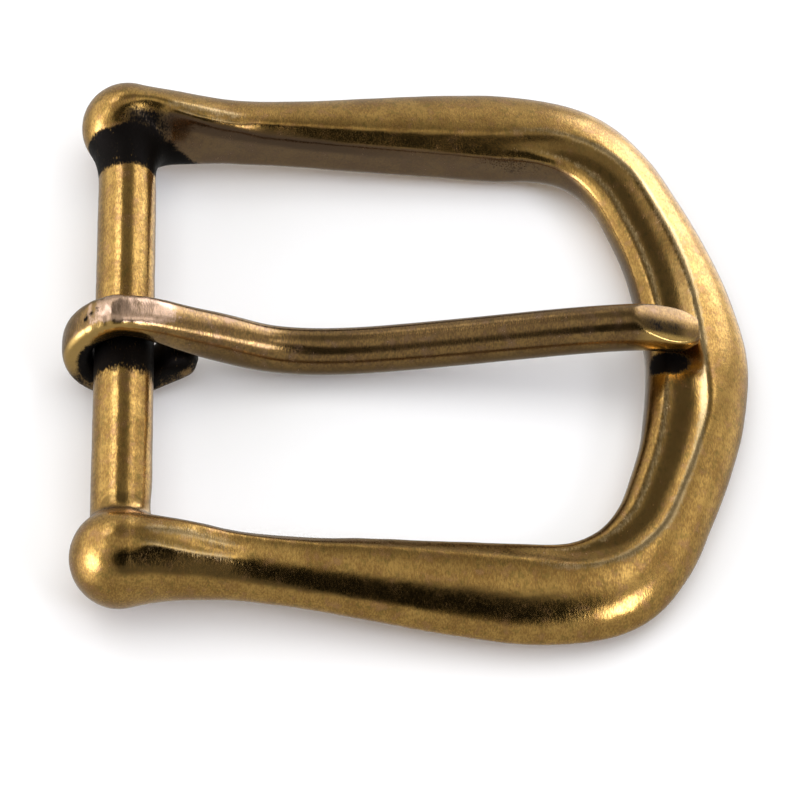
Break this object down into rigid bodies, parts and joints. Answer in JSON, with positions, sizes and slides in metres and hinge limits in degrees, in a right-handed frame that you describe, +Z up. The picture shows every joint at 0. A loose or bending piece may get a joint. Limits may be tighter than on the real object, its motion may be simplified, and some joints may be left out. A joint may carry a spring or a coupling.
{
  "type": "pin buckle",
  "caption": "Heel-bar pin buckle for a leather strap: U-shaped cast frame with a bowed front and round knobs, and a curved pin that swings on the bar.",
  "frame": {"origin": "bottom centre of the buckle's box as it lies on its back", "axes": "+X from the heel bar to the bow, +Y across the strap along the bar, +Z up out of the buckle's face"},
  "size_m": [0.0636, 0.0606, 0.0111],
  "materials": {
    "frame_metal": "antique brass, brushed on the high places, black patina in the hollows",
    "pin_metal": "antique brass, a little browner than the frame"
  },
  "bodies": {
    "frame": {"frame": "frame_metal"},
    "pin": {"pin": "pin_metal"}
  },
  "joints": [
    {"name": "pin_swing", "type": "hinge", "parent": "frame", "child": "pin", "pos_m": [-0.02625, 0, 0.0056], "axis": [0, -1, 0], "range_deg": [0, 180]}
  ]
}
